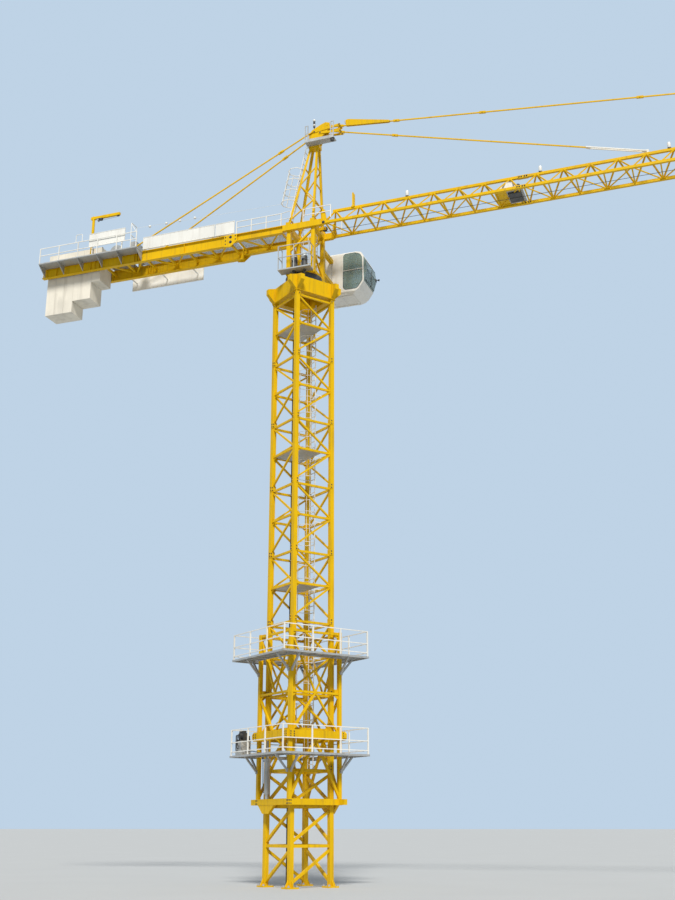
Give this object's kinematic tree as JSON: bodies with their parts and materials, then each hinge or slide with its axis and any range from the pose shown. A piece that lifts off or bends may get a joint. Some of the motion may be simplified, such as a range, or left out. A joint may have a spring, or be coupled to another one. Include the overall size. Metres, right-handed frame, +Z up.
{
  "type": "tower crane, 1:2 scale model",
  "caption": "Hammerhead tower crane at half scale: lattice mast with a climbing cage, slewing cab, jib, tower head, ties and ballasted counter-jib.",
  "frame": {"origin": "centre of the near foot plate's underside, on the ground", "axes": "+X along the jib away from the mast, +Z up, +Y towards the operator's cab side"},
  "size_m": [31.525, 3.1671, 17.6003],
  "materials": {
    "crane_yellow": "semi-gloss paint",
    "galvanised": "galvanised",
    "white_rail": "galvanised, painted white",
    "white_panel": "satin paint",
    "ballast_concrete": "cream paint on concrete",
    "dark_metal": "dark machinery paint",
    "black_rubber": "matt",
    "cab_glass": "tinted"
  },
  "bodies": {
    "tower": {"foot_plates": "crane_yellow", "base_section": "crane_yellow", "mast_section_1": "crane_yellow", "mast_section_2": "crane_yellow", "mast_section_3": "crane_yellow", "mast_section_4": "crane_yellow", "mast_section_5": "crane_yellow", "mast_section_6": "crane_yellow", "mast_section_7": "crane_yellow", "slewing_support": "crane_yellow", "slewing_ring_lower": "dark_metal", "mast_ladder": "white_rail", "rest_platforms": "galvanised", "power_cable": "black_rubber"},
    "climbing_cage": {"cage_frame": "crane_yellow", "cage_crosshead": "crane_yellow", "work_platforms": "galvanised", "work_platform_rails": "white_rail", "climbing_cylinder": "galvanised", "power_pack": "dark_metal"},
    "upperworks": {"slewing_ring_upper": "dark_metal", "cab_mast": "crane_yellow", "slewing_platform": "galvanised", "slewing_motors": "dark_metal", "cab_bracket": "crane_yellow", "cab_body": "white_panel", "cab_glass": "cab_glass", "cab_seat": "dark_metal", "tower_head": "crane_yellow", "head_ladder": "white_rail", "apex_platform": "galvanised", "apex_block": "crane_yellow", "counter_jib_inner": "crane_yellow", "counter_jib_outer": "crane_yellow", "counter_jib_walkway": "galvanised", "counter_jib_rails": "white_rail", "banner_panels": "white_panel", "hoist_winch": "galvanised", "ballast": "ballast_concrete", "counter_ties": "crane_yellow", "davit_post": "crane_yellow", "jib_section_1": "crane_yellow", "jib_section_2": "crane_yellow", "jib_section_3": "crane_yellow", "jib_section_4": "crane_yellow", "jib_section_5": "crane_yellow", "trolley_winch": "galvanised", "inner_jib_tie": "crane_yellow", "inner_tie_fork": "white_panel", "outer_jib_tie": "crane_yellow", "trolley": "crane_yellow", "hook_block": "crane_yellow"},
    "davit": {"davit_arm": "crane_yellow"}
  },
  "joints": [
    {"name": "slewing", "type": "hinge", "parent": "tower", "child": "upperworks", "pos_m": [-0.10327, 0.65947, 13.32], "axis": [0, 0, 1], "continuous": true},
    {"name": "cage_climb", "type": "slide", "parent": "tower", "child": "climbing_cage", "axis": [0, 0, 1], "range_m": [-1.25, 7.5]},
    {"name": "davit_swivel", "type": "hinge", "parent": "upperworks", "child": "davit", "pos_m": [-5.74327, 0.28547, 15.8753], "axis": [0, 0, 1], "range_deg": [-170, 170]}
  ]
}
